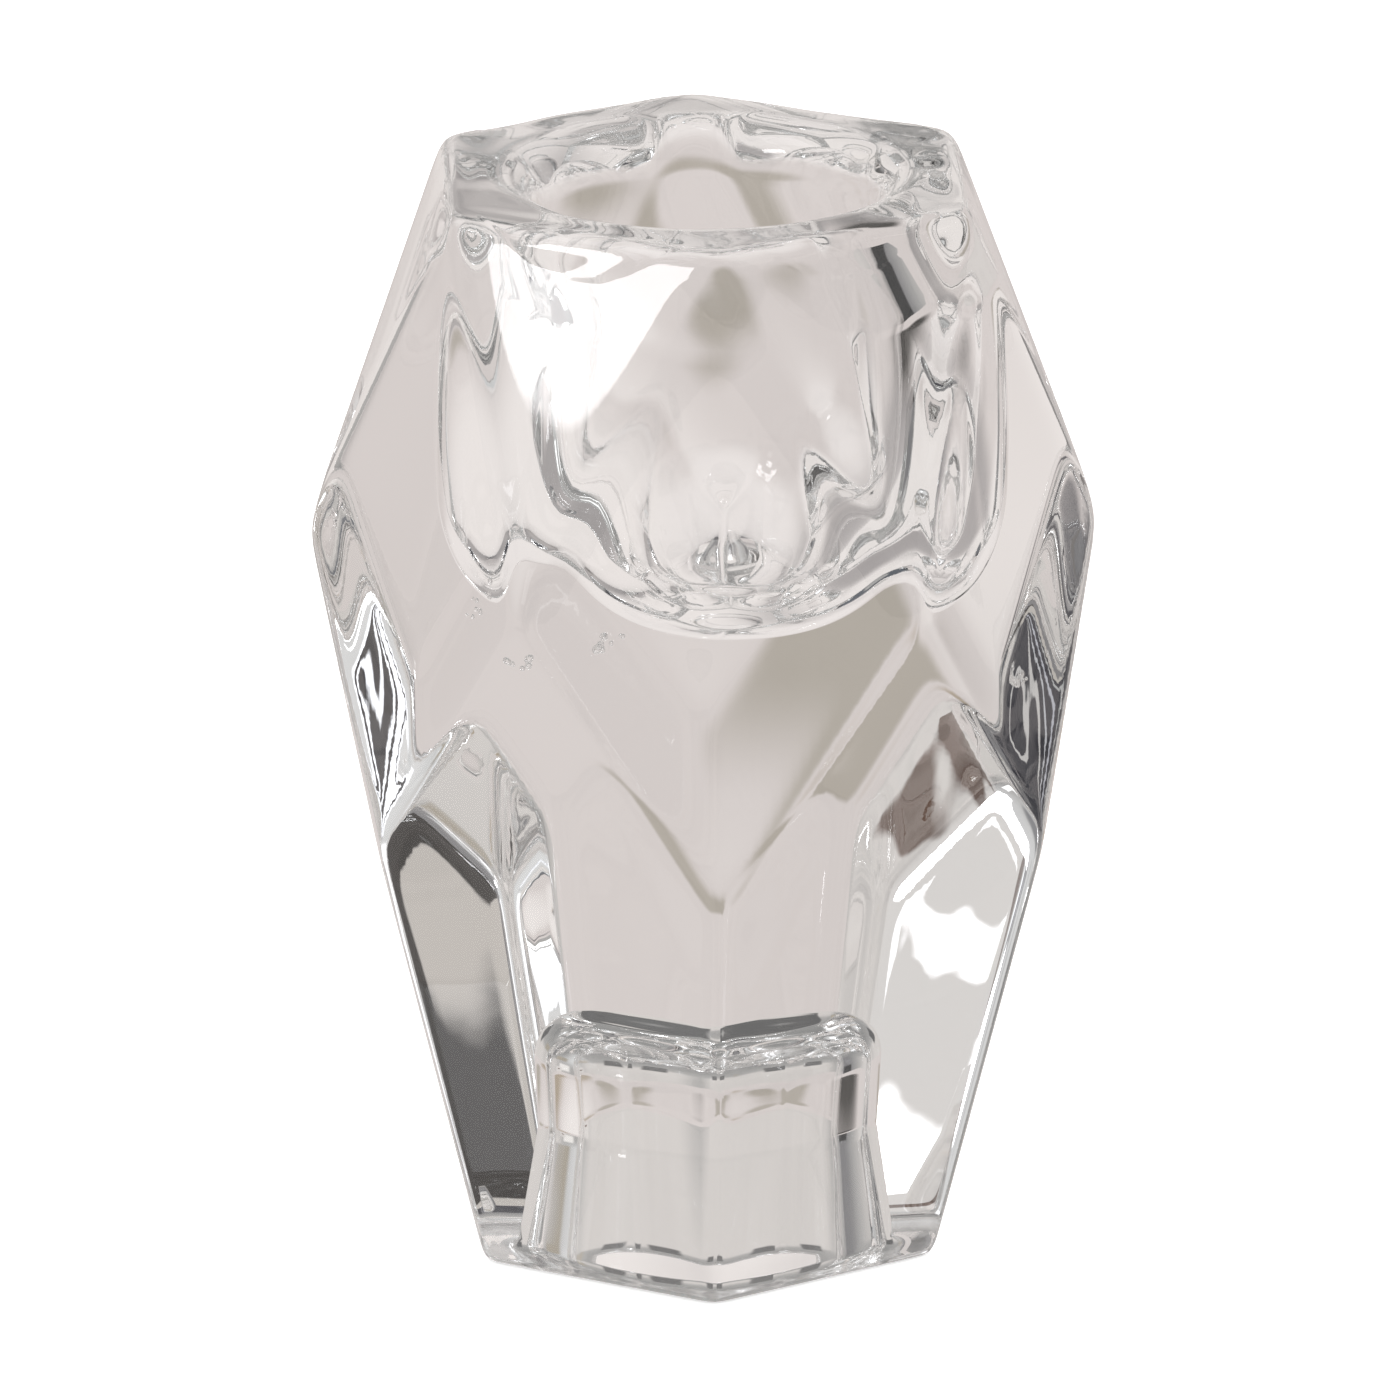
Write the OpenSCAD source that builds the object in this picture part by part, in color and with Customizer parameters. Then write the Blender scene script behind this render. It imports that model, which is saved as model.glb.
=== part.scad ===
// Faceted solid-glass candlestick, cast in one piece.
// A six-sided body that is widest above its middle. The top has a round-bottomed well
// for a short candle, and the underside has a tapered socket for a standard dinner candle,
// so the holder can be stood either way up.
// Origin: centre of the foot. +Z up, corners of the hexagon towards +Y and -Y.

/* [Body] */
// Height of the holder
height = 100; // [90:1:120]
// Height of the widest level above the foot
waist_z = 67.3; // [60:0.1:72]
// Width across the flats at the top
top_flats = 46.4; // [45.4:0.2:50]
// Width across the flats at the widest level
waist_flats = 72; // [68:0.2:76]
// Width across the flats at the foot
foot_flats = 41; // [39:0.2:46]

/* [Well in the top] */
// Depth of the well below the rim
well_depth = 40.6; // [38:0.2:43]
// Radius of the shallow dish that forms the well's bottom
well_dish_r = 30; // [26:1:34]
// Radius of the round corner between bottom and wall
well_corner_r = 8.1; // [7:0.1:8.1]
// Diameter of the well just above its round corner
well_low_d = 32.8; // [32.6:0.1:33.2]
// Diameter of the well at its widest level
well_widest_d = 34.6; // [34:0.1:35.2]
// Drop from the rim to the widest level
well_widest_drop = 20; // [17:0.5:23]
// Diameter of the mouth, at the foot of the lip
well_mouth_d = 31.2; // [30:0.2:32]
// Radius of the rounded lip between wall and top face
lip_r = 4.2; // [3:0.1:4.6]

/* [Socket in the foot] */
// Depth of the whole socket
socket_depth = 25; // [22:0.5:28]
// Diameter of the straight seat, for a 22 mm candle
seat_d = 22.4; // [21.5:0.1:23]
// Length of the straight seat
seat_h = 7; // [5:0.5:9]
// Radius of the round corner at the socket's inner end
seat_corner_r = 5; // [3:0.5:6]
// Diameter of the socket's mouth
socket_mouth_d = 28; // [25:0.5:30]

/* [Hidden] */
$fn = 96;
sides = 6;
cut_size = 3 * height;
overlap = 1;
tuck = 0.4;
half_side = 180 / sides;
corner_inset = 0.06;

top_r = top_flats / 2;
waist_r = waist_flats / 2;
foot_r = foot_flats / 2;
top_corner_r = top_r / cos(half_side) - corner_inset;
waist_corner_r = waist_r * cos(half_side) - corner_inset;

// Removes everything beyond a sloping flat that passes through two points of one half-plane:
// radius r_low at height z_low, and radius r_high at height z_high.
module flat_cut(r_low, z_low, r_high, z_high) {
    lean = atan2(r_low - r_high, z_high - z_low);
    translate([r_low, 0, z_low])
        rotate([0, -lean, 0])
            translate([0, -cut_size / 2, -cut_size / 2])
                cube(cut_size);
}

// The solid body: a hexagonal block, cut by three rings of sloping flats. The corner flats are
// set in a little, so that they meet each other in short edges and not in bare points.
module faceted_block() {
    difference() {
        rotate([0, 0, half_side])
            cylinder(h = height, r = waist_r / cos(half_side), $fn = sides);
        for (side = [0 : sides - 1]) {
            rotate([0, 0, side * 2 * half_side]) {
                flat_cut(waist_r, waist_z, top_r, height);
                flat_cut(foot_r, 0, waist_r, waist_z);
            }
            rotate([0, 0, (2 * side + 1) * half_side])
                flat_cut(waist_corner_r, waist_z, top_corner_r, height);
        }
    }
}

// The well: a dished bottom with a round corner, a wall that widens and narrows again, and a lip
// that is a quarter of a ring. The parts of the outline are tucked into each other, so that no
// thin skin is left between them.
module well() {
    floor_z = height - well_depth;
    lip_z = height - lip_r;
    mouth_r = well_mouth_d / 2;
    corner_x = well_low_d / 2 - well_corner_r;
    corner_rise = sqrt(pow(well_dish_r - well_corner_r, 2) - pow(corner_x, 2));
    corner_z = floor_z + well_dish_r - corner_rise;
    dish_edge_z = corner_z - well_corner_r * corner_rise / (well_dish_r - well_corner_r);
    rotate_extrude() {
        intersection() {
            translate([0, floor_z + well_dish_r])
                circle(r = well_dish_r);
            translate([0, floor_z - overlap])
                square([well_dish_r, dish_edge_z - floor_z + overlap]);
        }
        translate([0, dish_edge_z - tuck])
            square([corner_x, corner_z - dish_edge_z + 2 * tuck]);
        intersection() {
            translate([corner_x, corner_z])
                circle(r = well_corner_r);
            translate([corner_x - tuck, dish_edge_z - tuck])
                square([well_corner_r + tuck, corner_z - dish_edge_z + 2 * tuck]);
        }
        polygon([
            [0, corner_z],
            [well_low_d / 2, corner_z],
            [well_widest_d / 2, height - well_widest_drop],
            [mouth_r, lip_z],
            [0, lip_z]
        ]);
        difference() {
            translate([0, lip_z])
                square([mouth_r + lip_r, lip_r + overlap]);
            translate([mouth_r + lip_r, lip_z])
                circle(r = lip_r);
        }
    }
}

// The socket: a round-cornered inner end, a straight seat and a wall that opens towards the foot.
module socket() {
    seat_r = seat_d / 2;
    corner_z = socket_depth - seat_corner_r;
    seat_z = corner_z - seat_h;
    flare_slope = (socket_mouth_d / 2 - seat_r) / seat_z;
    translate([0, 0, -overlap])
        cylinder(h = seat_z + overlap, r1 = socket_mouth_d / 2 + overlap * flare_slope, r2 = seat_r);
    translate([0, 0, seat_z])
        cylinder(h = seat_h, r = seat_r);
    rotate_extrude() {
        translate([0, corner_z])
            square([seat_r - seat_corner_r, seat_corner_r]);
        intersection() {
            translate([seat_r - seat_corner_r, corner_z])
                circle(r = seat_corner_r);
            translate([seat_r - seat_corner_r, corner_z])
                square(seat_corner_r);
        }
    }
}

module glass_body() {
    color([0.86, 0.88, 0.88, 0.5])
        difference() {
            faceted_block();
            well();
            socket();
        }
}

glass_body();
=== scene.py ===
import math

import bmesh
import bpy
import numpy as np
from mathutils import Matrix, Vector


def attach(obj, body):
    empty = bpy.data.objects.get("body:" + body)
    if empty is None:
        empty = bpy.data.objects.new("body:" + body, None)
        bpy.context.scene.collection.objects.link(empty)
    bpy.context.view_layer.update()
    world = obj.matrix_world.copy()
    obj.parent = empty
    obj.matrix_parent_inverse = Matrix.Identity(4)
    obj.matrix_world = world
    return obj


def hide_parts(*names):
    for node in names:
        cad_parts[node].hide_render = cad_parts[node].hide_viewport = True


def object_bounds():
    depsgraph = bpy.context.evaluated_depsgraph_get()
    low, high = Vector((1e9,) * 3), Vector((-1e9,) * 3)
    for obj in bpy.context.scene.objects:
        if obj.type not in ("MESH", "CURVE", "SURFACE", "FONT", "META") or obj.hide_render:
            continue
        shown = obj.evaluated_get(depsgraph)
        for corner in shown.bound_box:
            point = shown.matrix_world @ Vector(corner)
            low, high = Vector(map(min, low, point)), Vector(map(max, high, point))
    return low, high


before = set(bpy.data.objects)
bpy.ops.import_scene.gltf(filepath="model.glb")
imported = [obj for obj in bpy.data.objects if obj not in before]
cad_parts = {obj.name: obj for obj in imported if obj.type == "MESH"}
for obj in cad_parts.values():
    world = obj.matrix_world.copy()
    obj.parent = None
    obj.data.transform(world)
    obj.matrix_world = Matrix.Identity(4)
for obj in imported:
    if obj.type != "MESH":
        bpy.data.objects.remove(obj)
cad_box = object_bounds()

# ---- Glass body -------------------------------------------------------------------------------
# One casting of clear glass: a six-sided block with a round-bottomed well in its top and
# a candle socket in its foot. It is pressed in a mould, its eighteen side flats are
# ground, and the whole is fire-polished, which leaves every edge a little soft.
MM = 0.001
HEIGHT = (cad_box[1][2] - cad_box[0][2]) / MM
WAIST_FLATS = (cad_box[1][0] - cad_box[0][0]) / MM
WAIST_Z = 67.3
TOP_FLATS = 46.4
FOOT_FLATS = 41.0
SIDES = 6
# the higher, the sharper the edges where two flats meet
EDGE_CRISPNESS = 85
# the least that a flat counts for a point that it faces away from
LEAST_SHARE = 1e-3

WELL_DEPTH = 40.6
WELL_FLOOR_R = 5.2
WELL_CORNER_R = 11.2
WELL_WIDEST_R = 17.3
WELL_WIDEST_DROP = 20.0
# the plunger stood a little out of true, so below the lip the well lies off the middle
WELL_SET_OVER = 2.2
WELL_SET_BACK = 0.3
SET_OVER_DEPTH = 12.0
LIP_R = 4.2
SOCKET_DEPTH = 25.0
SEAT_R = 11.2
SEAT_LENGTH = 7.0
SEAT_CORNER_R = 5.0
SOCKET_MOUTH_R = 14.0
SOCKET_MOUTH_ROUND = 1.5

# spacing of points on the straight stretches of the outline, and steps on its round ones
FACE_PITCH = 0.5
SIDE_PITCH = 0.6
SOCKET_PITCH = 0.8
NEAR_EDGE_PITCH = 0.25
EDGE_PITCH = 0.2
WELL_CORNER_STEPS = 28
WELL_WALL_STEPS = 34
LIP_STEPS = 20
SOCKET_MOUTH_STEPS = 8
SEAT_CORNER_STEPS = 10
COLUMNS = 240
MERGE_WITHIN = 0.002


def block_flats():
    """All flats of the block, as rows of a unit normal and a distance from the origin in mm."""
    half = math.pi / SIDES
    waist_r, top_r, foot_r = WAIST_FLATS / 2, TOP_FLATS / 2, FOOT_FLATS / 2
    waist_corner_r, top_corner_r = waist_r * math.cos(half), top_r / math.cos(half)
    flats = []
    for turn in range(SIDES):
        for middle, low, high in (
            (2 * turn * half, (waist_r, WAIST_Z), (top_r, HEIGHT)),
            (2 * turn * half, (foot_r, 0.0), (waist_r, WAIST_Z)),
            ((2 * turn + 1) * half, (waist_corner_r, WAIST_Z), (top_corner_r, HEIGHT)),
        ):
            lean = math.atan2(low[0] - high[0], high[1] - low[1])
            out, up = math.cos(lean), math.sin(lean)
            normal = (out * math.cos(middle), out * math.sin(middle), up)
            flats.append((*normal, low[0] * out + low[1] * up))
    flats.append((0.0, 0.0, 1.0, HEIGHT))
    flats.append((0.0, 0.0, -1.0, 0.0))
    return np.array(flats)


def arc(centre, radius, start, end, steps):
    """Points on a round stretch of an outline, from angle start to angle end in degrees."""
    return [
        (centre[0] + radius * math.cos(a), centre[1] + radius * math.sin(a))
        for a in np.radians(np.linspace(start, end, steps + 1))
    ]


def run(start, end, pitch):
    """Evenly spaced points on a straight stretch of an outline, without its first point."""
    steps = max(1, round(math.dist(start, end) / pitch))
    way = np.array(end) - start
    return [tuple(np.array(start) + way * i / steps) for i in range(1, steps + 1)]


def well_outline():
    """From the bottom of the well, round its corner and up its bulging wall, to the top of the lip."""
    corner = (WELL_FLOOR_R, HEIGHT - WELL_DEPTH + WELL_CORNER_R)
    lip_z, widest_z = HEIGHT - LIP_R, HEIGHT - WELL_WIDEST_DROP
    past_corner = WELL_WIDEST_R - WELL_CORNER_R
    bulge_x = past_corner**2 - WELL_FLOOR_R**2 - (widest_z - corner[1]) ** 2
    bulge_x = bulge_x / 2 / (past_corner - WELL_FLOOR_R)
    bulge_r = WELL_WIDEST_R - bulge_x
    lip_x = bulge_x + math.sqrt((bulge_r + LIP_R) ** 2 - (lip_z - widest_z) ** 2)
    lean_low = math.degrees(math.atan2(widest_z - corner[1], WELL_FLOOR_R - bulge_x))
    lean_high = math.degrees(math.atan2(lip_z - widest_z, lip_x - bulge_x))
    bowl = arc(corner, WELL_CORNER_R, -90, -lean_low, WELL_CORNER_STEPS)
    bottom = (0.0, bowl[0][1])
    floor = [bottom] + run(bottom, bowl[0], SIDE_PITCH)[:-1]
    wall = arc((bulge_x, widest_z), bulge_r, -lean_low, lean_high, WELL_WALL_STEPS)[1:-1]
    return floor + bowl + wall + arc((lip_x, lip_z), LIP_R, 180 + lean_high, 90, LIP_STEPS)


def socket_outline():
    """From the foot's face, up the socket's flare and its straight seat, to the middle of its end."""
    seat_low = (SEAT_R, SOCKET_DEPTH - SEAT_CORNER_R - SEAT_LENGTH)
    lean = math.atan2(SOCKET_MOUTH_R - SEAT_R, seat_low[1])
    mouth_x = SEAT_R + (seat_low[1] - SOCKET_MOUTH_ROUND) * math.tan(lean)
    mouth_middle = (mouth_x + SOCKET_MOUTH_ROUND, SOCKET_MOUTH_ROUND)
    flare_angle = 180 + math.degrees(lean)
    mouth = arc(mouth_middle, SOCKET_MOUTH_ROUND, 270, flare_angle, SOCKET_MOUTH_STEPS)
    corner_middle = (SEAT_R - SEAT_CORNER_R, SOCKET_DEPTH - SEAT_CORNER_R)
    corner = arc(corner_middle, SEAT_CORNER_R, 0, 90, SEAT_CORNER_STEPS)
    wall = run(mouth[-1], seat_low, SOCKET_PITCH) + run(seat_low, corner[0], SOCKET_PITCH)[:-1]
    return mouth + wall + corner + run(corner[-1], (0.0, SOCKET_DEPTH), SOCKET_PITCH)


def skin_outline(start, end):
    """A rough outline of the outside between the lip and the socket, pulled on to the flats later."""
    rim_r, foot_r = TOP_FLATS / 2 + 1, FOOT_FLATS / 2 + 1
    stops = (
        # radius, height, and the spacing of the points on the way there
        (rim_r - 2, HEIGHT, FACE_PITCH),
        (rim_r, HEIGHT, EDGE_PITCH),
        (rim_r + 1.5, HEIGHT - 4, NEAR_EDGE_PITCH),
        (WAIST_FLATS / 2, WAIST_Z, SIDE_PITCH),
        (foot_r + 1, 4.0, SIDE_PITCH),
        (foot_r, 0.0, NEAR_EDGE_PITCH),
        (foot_r - 2, 0.0, EDGE_PITCH),
        (*end, FACE_PITCH),
    )
    points = []
    for x, z, pitch in stops:
        points += run(start, (x, z), pitch)
        start = (x, z)
    return points[:-1]


def pull_on_to_flats(points):
    """Moves points along the line to the middle of the block, on to its flats, with soft edges."""
    flats = block_flats()
    middle = np.array((0.0, 0.0, HEIGHT / 2))
    ray = points - middle
    reach = ray @ flats[:, :3].T
    room = flats[:, 3] - flats[:, :3] @ middle
    share = np.maximum(reach / room, LEAST_SHARE)
    scale = np.sum(share**EDGE_CRISPNESS, axis=1) ** (-1 / EDGE_CRISPNESS)
    return middle + ray * scale[:, None]


def ripple(points, wavelength, waves, seed):
    """A gentle unevenness, about -1 to 1, made of waves in many directions at once."""
    shortest, longest = 0.7, 1.4
    rng = np.random.default_rng(seed)
    total = np.zeros(len(points))
    for _ in range(waves):
        way = rng.normal(size=3)
        way *= 2 * math.pi / np.linalg.norm(way) / wavelength / rng.uniform(shortest, longest)
        total += np.sin(points @ way + rng.uniform(0, 2 * math.pi))
    return total / math.sqrt(waves)


well = well_outline()
socket = socket_outline()
skin = skin_outline(well[-1], socket[0])
bm = bmesh.new()
skin_mark = bm.verts.layers.int.new("skin")
outline = [bm.verts.new((x * MM, 0.0, z * MM)) for x, z in well + skin + socket]
edges = [bm.edges.new(pair) for pair in zip(outline, outline[1:])]
for vert in outline[len(well):len(well) + len(skin)]:
    vert[skin_mark] = 1
bmesh.ops.spin(
    bm,
    geom=outline + edges,
    axis=(0, 0, 1),
    cent=(0, 0, 0),
    angle=2 * math.pi,
    steps=COLUMNS,
    use_merge=True,
)
bmesh.ops.remove_doubles(bm, verts=bm.verts, dist=MERGE_WITHIN * MM)
bmesh.ops.recalc_face_normals(bm, faces=bm.faces)
skin_verts = [vert for vert in bm.verts if vert[skin_mark]]
skin_places = pull_on_to_flats(np.array([vert.co for vert in skin_verts]) / MM)
for vert, place in zip(skin_verts, skin_places):
    vert.co = Vector(place) * MM
for vert in bm.verts:
    in_well = not vert[skin_mark] and vert.co.z > 0.5 * HEIGHT * MM
    if in_well:
        sunk = min(1.0, (HEIGHT - vert.co.z / MM) / SET_OVER_DEPTH) ** 2
        vert.co.x += WELL_SET_OVER * sunk * MM
        vert.co.y += WELL_SET_BACK * sunk * MM
for face in bm.faces:
    face.smooth = True

# The outside is uneven by about a hundredth of a millimetre in long waves, with fainter upright
# flow lines in it, and the well and socket by somewhat more. The lip and the inner end of the
# socket, where the hot glass was free to sag, are uneven by nearly a tenth.
SKIN_RIPPLE = 0.008
FLOW_RIPPLE = 0.0012
WELL_RIPPLE = 0.015
SAG_RIPPLE = 0.09
LONG_WAVE = 24.0
SHORT_WAVE = 9.0
FLOW_WAVE = 7.0
# flow lines vary this much less along their length than across it
FLOW_STRETCH = (1.0, 1.0, 0.12)
# how far below the top, and below the socket's inner end, the sagging is strongest
LIP_SAG_DROP = 1.5
END_SAG_DROP = 1.0
SAG_REACH = 2.5
PAST_TOP_FLATS = 1.5
LONG_SHARE, SHORT_SHARE = 0.7, 0.3
# the foot's face and its edge, up to this height, are ground true
TRUE_FOOT = 1.0
bm.normal_update()
bm.verts.ensure_lookup_table()
places = np.array([vert.co for vert in bm.verts]) / MM
normals = np.array([vert.normal for vert in bm.verts])
on_skin = np.array([vert[skin_mark] for vert in bm.verts], dtype=bool)
across = np.hypot(places[:, 0], places[:, 1])
long_wave = ripple(places, LONG_WAVE, waves=14, seed=3)
short_wave = ripple(places, SHORT_WAVE, waves=14, seed=8)
flow = ripple(places * FLOW_STRETCH, FLOW_WAVE, waves=10, seed=5)
near_lip = np.exp(-((places[:, 2] - HEIGHT + LIP_SAG_DROP) / SAG_REACH) ** 2)
near_lip *= across < TOP_FLATS / 2 + PAST_TOP_FLATS
near_end = np.exp(-((places[:, 2] - SOCKET_DEPTH + END_SAG_DROP) / SAG_REACH) ** 2) * ~on_skin
skin_height = SKIN_RIPPLE * long_wave + FLOW_RIPPLE * flow
well_height = WELL_RIPPLE * (LONG_SHARE * long_wave + SHORT_SHARE * short_wave)
height = np.where(on_skin, skin_height, well_height)
height += SAG_RIPPLE * short_wave * np.maximum(near_lip, near_end)
height *= np.where(on_skin & (places[:, 2] < TRUE_FOOT), 0.0, 1.0)
places += normals * height[:, None]
for vert, place in zip(bm.verts, places):
    vert.co = Vector(place) * MM

# Small gas bubbles in clusters, left in the glass near the front when it was poured. Each is
# a closed hollow, so its faces point into it.
BUBBLE_CLUSTERS = (
    # middle, spread, number, smallest and largest radius, all in millimetres
    ((-10.4, -27.5, 64.7), 0.39, 10, 0.20, 0.42),
    ((-20.9, -25.0, 66.8), 0.66, 6, 0.16, 0.34),
    ((-8.5, -27.8, 64.9), 0.54, 3, 0.14, 0.24),
    ((-16.1, -25.6, 63.0), 0.54, 5, 0.22, 0.50),
    ((-19.4, -25.2, 69.0), 0.48, 4, 0.16, 0.40),
)
FLATTEST, TALLEST = 0.8, 1.25
rng = np.random.default_rng(21)
for middle, spread, number, small, large in BUBBLE_CLUSTERS:
    for _ in range(number):
        centre = np.array(middle) + rng.normal(0, spread, 3)
        radius = rng.uniform(small, large)
        squash = Matrix.Diagonal((1.0, 1.0, rng.uniform(FLATTEST, TALLEST), 1.0))
        place = Matrix.Translation(Vector(centre) * MM) @ squash
        bubble = bmesh.ops.create_icosphere(bm, subdivisions=2, radius=radius * MM, matrix=place)
        bubble_faces = list({face for vert in bubble["verts"] for face in vert.link_faces})
        bmesh.ops.reverse_faces(bm, faces=bubble_faces)
        for face in bubble_faces:
            face.smooth = True
mesh = bpy.data.meshes.new("cast_glass")
bm.to_mesh(mesh)
bm.free()
glass = bpy.data.objects.new("cast_glass", mesh)
bpy.context.collection.objects.link(glass)

# Clear glass with a trace of grey-green in its depth. The foot's face is partly matt, in patches
# a few millimetres across, from standing, and the rest is bright with faint polishing marks.
GLASS_IOR = 1.52
DEPTH_TINT = (0.80, 0.84, 0.82, 1)
WORN_UP_TO = 0.15
BRIGHT_FROM = 0.9
WORN_ROUGHNESS = 0.35
WEAR_PATCHES_PER_METRE = 420
MARKS_PER_METRE = 160
material = bpy.data.materials.new("clear_glass")
material.use_nodes = True
nodes, links = material.node_tree.nodes, material.node_tree.links
shader = nodes["Principled BSDF"]
shader.inputs["Base Color"].default_value = (1, 1, 1, 1)
shader.inputs["IOR"].default_value = GLASS_IOR
shader.inputs["Transmission Weight"].default_value = 1.0

place_in_glass = nodes.new("ShaderNodeTexCoord")
above_foot = nodes.new("ShaderNodeSeparateXYZ")
links.new(place_in_glass.outputs["Object"], above_foot.inputs[0])
foot_wear = nodes.new("ShaderNodeMapRange")
foot_wear.inputs["From Min"].default_value = WORN_UP_TO * MM
foot_wear.inputs["From Max"].default_value = BRIGHT_FROM * MM
foot_wear.inputs["To Min"].default_value = 1.0
foot_wear.inputs["To Max"].default_value = 0.0
links.new(above_foot.outputs["Z"], foot_wear.inputs["Value"])
wear_patches = nodes.new("ShaderNodeTexNoise")
wear_patches.inputs["Scale"].default_value = WEAR_PATCHES_PER_METRE
wear_patches.inputs["Detail"].default_value = 4
links.new(place_in_glass.outputs["Object"], wear_patches.inputs["Vector"])
worn = nodes.new("ShaderNodeMath")
worn.operation = "MULTIPLY"
links.new(foot_wear.outputs["Result"], worn.inputs[0])
links.new(wear_patches.outputs["Fac"], worn.inputs[1])
matt = nodes.new("ShaderNodeMath")
matt.operation = "MULTIPLY"
matt.inputs[1].default_value = WORN_ROUGHNESS
links.new(worn.outputs[0], matt.inputs[0])
links.new(matt.outputs[0], shader.inputs["Roughness"])

polish_marks = nodes.new("ShaderNodeTexNoise")
polish_marks.inputs["Scale"].default_value = MARKS_PER_METRE
polish_marks.inputs["Detail"].default_value = 2
links.new(place_in_glass.outputs["Object"], polish_marks.inputs["Vector"])
polish = nodes.new("ShaderNodeBump")
polish.inputs["Strength"].default_value = 0.05
polish.inputs["Distance"].default_value = 0.02 * MM
links.new(polish_marks.outputs["Fac"], polish.inputs["Height"])
links.new(polish.outputs["Normal"], shader.inputs["Normal"])

depth_tint = nodes.new("ShaderNodeVolumeAbsorption")
depth_tint.inputs["Color"].default_value = DEPTH_TINT
depth_tint.inputs["Density"].default_value = 1.0
links.new(depth_tint.outputs["Volume"], nodes["Material Output"].inputs["Volume"])
mesh.materials.append(material)
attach(glass, "root")
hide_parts("glass_body")

# ---- Floor, light and camera --------------------------------------------------------------------
# A sheet of white paper in a soft room: white where it is seen directly, and a warm light grey where
# the glass shows it, with soft patches on it, among them painted light and a painted shadow of the
# glass. The room has a large lamp at the front left, dark boards low down, and slats at both sides.
ROOM_BASE = (0.40, 0.39, 0.38)
# Each panel of the room has the azimuth from +Y towards +X and the elevation of its middle, half
# its width and height, all in degrees, the softness of its edge, and its colour. A later panel
# hangs in front of an earlier one.
ROOM = (
    # a light wall, a dim ceiling, a light wall behind the paper, and a dim wall at the right
    (-110, 42, 50, 24, 0.5, (0.72, 0.72, 0.72)),
    (25, 65, 75, 32, 0.5, (0.26, 0.26, 0.255)),
    (0, 8, 42, 12, 0.4, (0.66, 0.625, 0.60)),
    (115, 14, 52, 30, 0.25, (0.22, 0.215, 0.22)),
    # a dark blind at the right, with light between its slats
    (117, 34, 15, 5, 0.1, (0.04, 0.04, 0.05)),
    (113.45, 33, 0.12, 5, 0.3, (0.60, 0.58, 0.57)),
    (114.3, 33, 0.15, 5, 0.3, (0.55, 0.55, 0.58)),
    (116.2, 33, 0.5, 5, 0.3, (0.50, 0.50, 0.55)),
    (121, 33, 0.8, 5, 0.3, (0.45, 0.45, 0.45)),
    # a dark board under it, with a light strip on top, and more dark boards low at the front
    (119, 19.5, 12, 7.5, 0.03, (0.02, 0.017, 0.015)),
    (119, 28.2, 12, 1.25, 0.15, (0.52, 0.485, 0.45)),
    (78, 2, 8, 10, 0.2, (0.05, 0.05, 0.05)),
    (168, 3, 24, 8, 0.2, (0.05, 0.05, 0.06)),
    (-163, 7, 16, 5, 0.2, (0.12, 0.13, 0.15)),
    # tan, light and brown strips at the back left, and a dark panel over the paper
    (-48, 25, 17, 5, 0.3, (0.38, 0.34, 0.28)),
    (-62, 7, 12, 6, 0.3, (0.85, 0.82, 0.79)),
    (-48, 1, 8, 5, 0.3, (0.70, 0.665, 0.64)),
    (-48.1, 2.0, 3.25, 0.62, 0.03, (0.10, 0.05, 0.03)),
    (8, 22, 12, 8, 0.2, (0.11, 0.11, 0.11)),
    # a grey panel, the lamps at the front left, and a bright window crossed by dark slats
    (-106, 18, 7, 6, 0.2, (0.25, 0.25, 0.26)),
    (-131, 12, 5, 4, 0.1, (1.6, 1.6, 1.6)),
    (-126.2, 24.6, 6.7, 4.0, 0.03, (9.0, 9.0, 9.2)),
    (-124.6, 29.35, 0.35, 0.25, 0.1, (3.0, 3.0, 3.1)),
    (-118, 33, 3.5, 4, 0.1, (1.5, 1.52, 1.6)),
    (-120.3, 33, 0.3, 5, 0.3, (0.03, 0.03, 0.035)),
    (-119.5, 33, 0.2, 5, 0.3, (0.03, 0.03, 0.035)),
    (-118.9, 33, 0.18, 5, 0.3, (0.03, 0.03, 0.035)),
    (-116.4, 33, 0.4, 5, 0.3, (0.03, 0.03, 0.035)),
    (-108, 48, 14, 8, 0.1, (1.5, 1.5, 1.55)),
)
DIFFUSE_LIGHT = 1.7
BACKDROP_LIGHT = 1.0
PAPER_WHITE = 0.93
PAPER_GLOW = 0.45
PAPER_TONE = (0.68, 0.625, 0.605)
# a patch fades out between these two shares of its reach
PAPER_FADE = (0.5, 1.3)
# centre x and y and reach, in metres, of each soft patch laid on the paper, and its colour; some are
# painted light and painted shadow
PAPER_PAINTED_LIGHT_AND_SHADE = (
    # painted light: the paper lighter towards the left, where the lamp stands
    (-0.10, -0.02, 0.16, (0.86, 0.81, 0.785)),
    # painted shadow of the glass, cast to its right
    (0.085, 0.0, 0.075, (0.38, 0.355, 0.35)),
    (-0.033, 0.243, 0.066, (0.43, 0.39, 0.34)),
    # painted light: a bright pool just behind the foot, where the glass gathers the light
    (0.0, 0.06, 0.05, (0.85, 0.80, 0.78)),
    (-0.28, 0.26, 0.14, (0.42, 0.35, 0.27)),
    (0.26, 0.045, 0.13, (0.07, 0.065, 0.06)),
    (-0.42, -0.35, 0.16, (0.08, 0.08, 0.09)),
)


def fade_out(tree, value, near, far):
    """1 where a value is below near, 0 where it is beyond far, and a smooth change between."""
    fade = tree.nodes.new("ShaderNodeMapRange")
    fade.interpolation_type = "SMOOTHSTEP"
    tree.links.new(value, fade.inputs["Value"])
    for name, number in (("From Min", near), ("From Max", far), ("To Min", 1.0), ("To Max", 0.0)):
        fade.inputs[name].default_value = number
    return fade.outputs["Result"]


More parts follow.
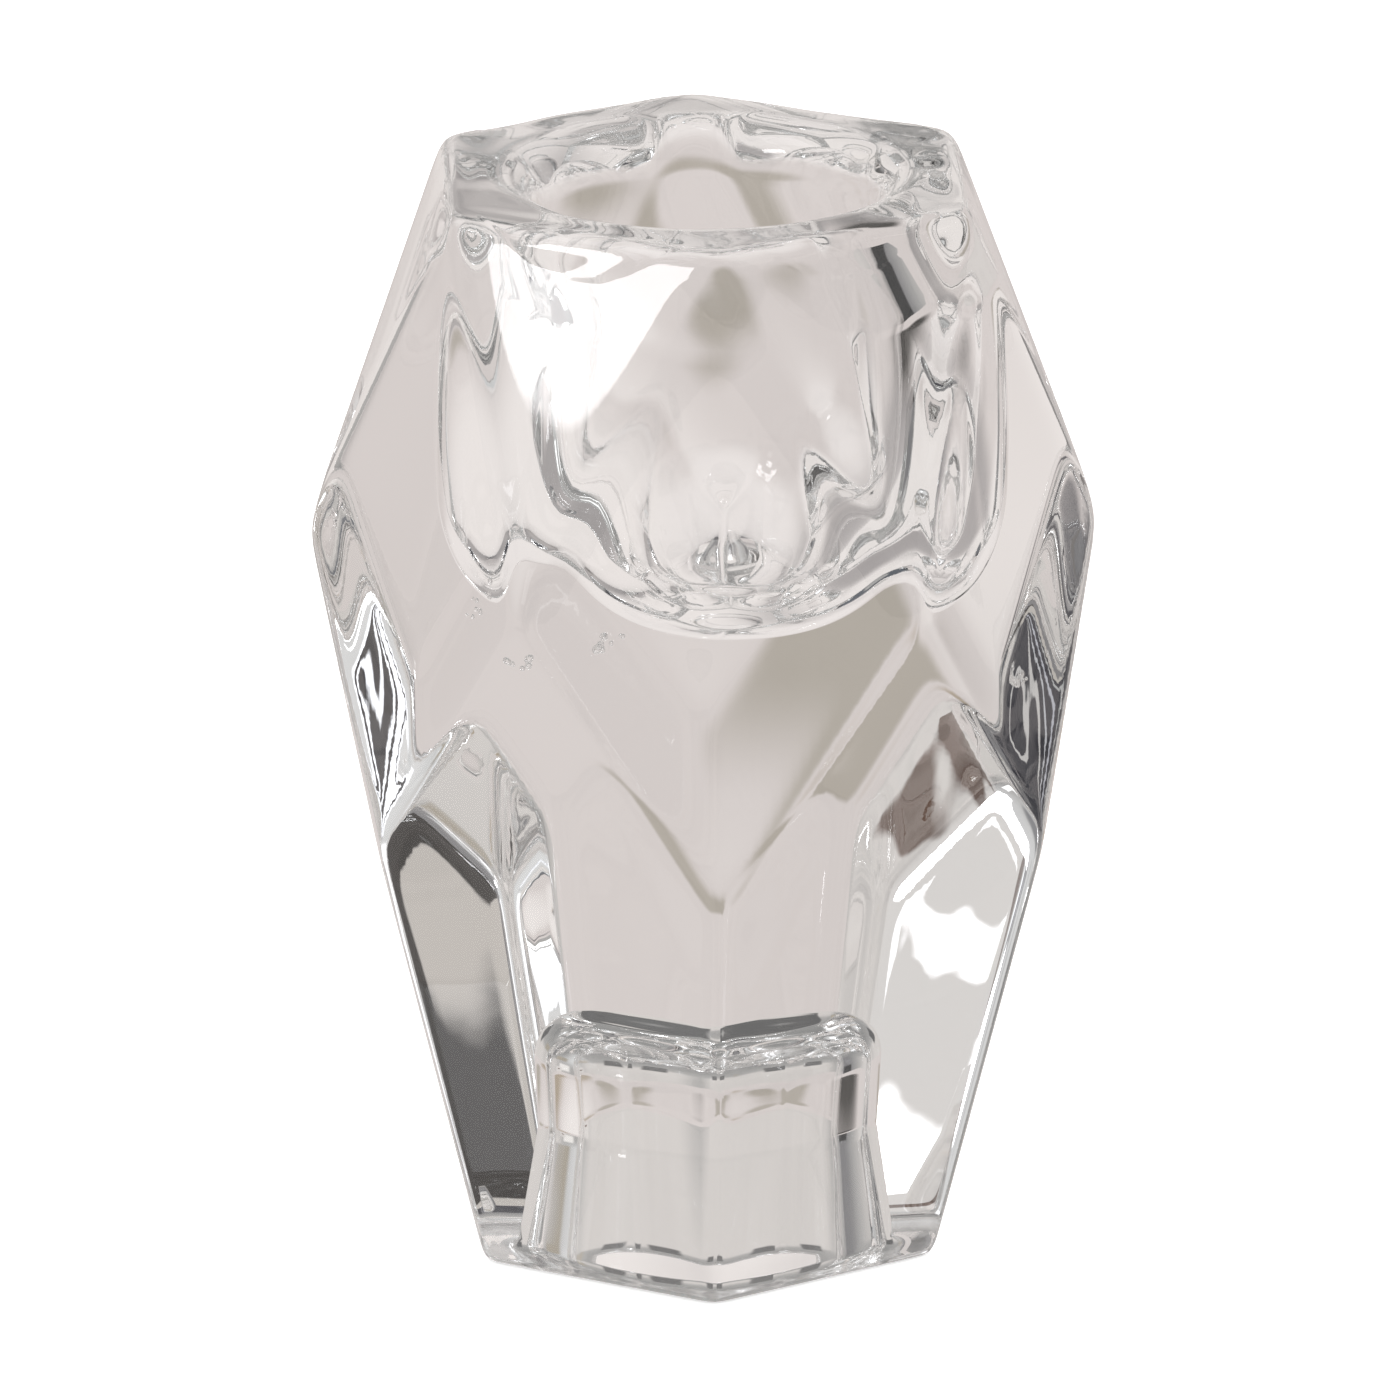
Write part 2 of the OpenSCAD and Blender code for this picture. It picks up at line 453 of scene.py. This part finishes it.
def lay_over(tree, mask, below, above):
    """A plain colour laid, where the mask is 1, over another colour or over earlier layers."""
    blend = tree.nodes.new("ShaderNodeMix")
    blend.data_type = "RGBA"
    tree.links.new(mask, blend.inputs["Factor"])
    if isinstance(below, bpy.types.NodeSocket):
        tree.links.new(below, blend.inputs["A"])
    else:
        blend.inputs["A"].default_value = (*below, 1)
    blend.inputs["B"].default_value = (*above, 1)
    return blend.outputs["Result"]


floor_bm = bmesh.new()
bmesh.ops.create_grid(floor_bm, x_segments=2, y_segments=2, size=3)
floor_mesh = bpy.data.meshes.new("floor")
floor_bm.to_mesh(floor_mesh)
floor_bm.free()
floor = bpy.data.objects.new("floor", floor_mesh)
bpy.context.collection.objects.link(floor)
paper = bpy.data.materials.new("white_paper")
paper.use_nodes = True
nodes, links = paper.node_tree.nodes, paper.node_tree.links
seen = nodes["Principled BSDF"]
seen.inputs["Base Color"].default_value = (PAPER_WHITE, PAPER_WHITE, PAPER_WHITE, 1)
seen.inputs["Roughness"].default_value = 0.9
seen.inputs["Emission Color"].default_value = (1, 1, 1, 1)
seen.inputs["Emission Strength"].default_value = PAPER_GLOW
through = nodes.new("ShaderNodeEmission")
paper_place = nodes.new("ShaderNodeTexCoord")
paper_tone_and_painted_light = PAPER_TONE
# lays the soft patches, among them painted light and a painted shadow of the glass, over the paper's
# tone
for x, y, reach, shade in PAPER_PAINTED_LIGHT_AND_SHADE:
    away = nodes.new("ShaderNodeVectorMath")
    away.operation = "DISTANCE"
    away.inputs[1].default_value = (x, y, 0.0)
    links.new(paper_place.outputs["Object"], away.inputs[0])
    near, far = (share * reach for share in PAPER_FADE)
    painted_patch = fade_out(paper.node_tree, away.outputs["Value"], near, far)
    paper_tone_and_painted_light = lay_over(paper.node_tree, painted_patch, paper_tone_and_painted_light, shade)
links.new(paper_tone_and_painted_light, through.inputs["Color"])
choice = nodes.new("ShaderNodeMixShader")
looked_at = nodes.new("ShaderNodeLightPath")
links.new(looked_at.outputs["Is Camera Ray"], choice.inputs[0])
links.new(through.outputs[0], choice.inputs[1])
links.new(seen.outputs[0], choice.inputs[2])
links.new(choice.outputs[0], nodes["Material Output"].inputs["Surface"])
floor_mesh.materials.append(paper)

world = bpy.data.worlds.new("soft_room")
world.use_nodes = True
nodes, links = world.node_tree.nodes, world.node_tree.links
background = nodes["Background"]


def room_math(operation, first, second=None):
    """One Math node on links or plain numbers."""
    node = nodes.new("ShaderNodeMath")
    node.operation = operation
    for socket_in, value in zip(node.inputs, (first, second)):
        if isinstance(value, bpy.types.NodeSocket):
            links.new(value, socket_in)
        elif value is not None:
            socket_in.default_value = value
    return node.outputs[0]


room_place = nodes.new("ShaderNodeTexCoord")
room_split = nodes.new("ShaderNodeSeparateXYZ")
links.new(room_place.outputs["Generated"], room_split.inputs[0])
azimuth_of = room_math("ARCTAN2", room_split.outputs["X"], room_split.outputs["Y"])
elevation_of = room_math("ARCSINE", room_split.outputs["Z"])
colour = ROOM_BASE
for azimuth, elevation, half_w, half_h, soft, shade in ROOM:
    turn = room_math("WRAP", room_math("SUBTRACT", azimuth_of, math.radians(azimuth)), math.pi)
    turn.node.inputs[2].default_value = -math.pi
    rise = room_math("SUBTRACT", elevation_of, math.radians(elevation))
    masks = []
    for offset, half in ((turn, half_w), (rise, half_h)):
        near, far = math.radians(half) * (1 - soft), math.radians(half) * (1 + soft)
        masks.append(fade_out(world.node_tree, room_math("ABSOLUTE", offset), near, far))
    panel = room_math("MULTIPLY", masks[0], masks[1])
    colour = lay_over(world.node_tree, panel, colour, shade)
room_seen = nodes.new("ShaderNodeLightPath")
for kind, level in (("Is Diffuse Ray", DIFFUSE_LIGHT), ("Is Camera Ray", BACKDROP_LIGHT)):
    colour = lay_over(world.node_tree, room_seen.outputs[kind], colour, (level, level, level))
links.new(colour, background.inputs["Color"])
bpy.context.scene.world = world

# The camera stands a little to the left of the front, about a metre away, and looks down.
scene = bpy.context.scene
scene.view_settings.view_transform = "Standard"
CAMERA_TURN = math.radians(2.45)
CAMERA_BACK = 1068.7
CAMERA_UP = 407.2
CAMERA_PITCH = math.radians(18.486)
camera_data = bpy.data.cameras.new("camera")
camera_data.sensor_width = 36
camera_data.lens = 318.98
camera_data.shift_x = -0.00264
camera_data.clip_start = 0.05
camera = bpy.data.objects.new("camera", camera_data)
camera.location = (
    -math.sin(CAMERA_TURN) * CAMERA_BACK * MM,
    -math.cos(CAMERA_TURN) * CAMERA_BACK * MM,
    CAMERA_UP * MM,
)
camera.rotation_euler = (math.pi / 2 - CAMERA_PITCH, 0, -CAMERA_TURN)
bpy.context.collection.objects.link(camera)
scene.camera = camera
scene.cycles.max_bounces = 32
scene.cycles.transmission_bounces = 32
scene.cycles.glossy_bounces = 16
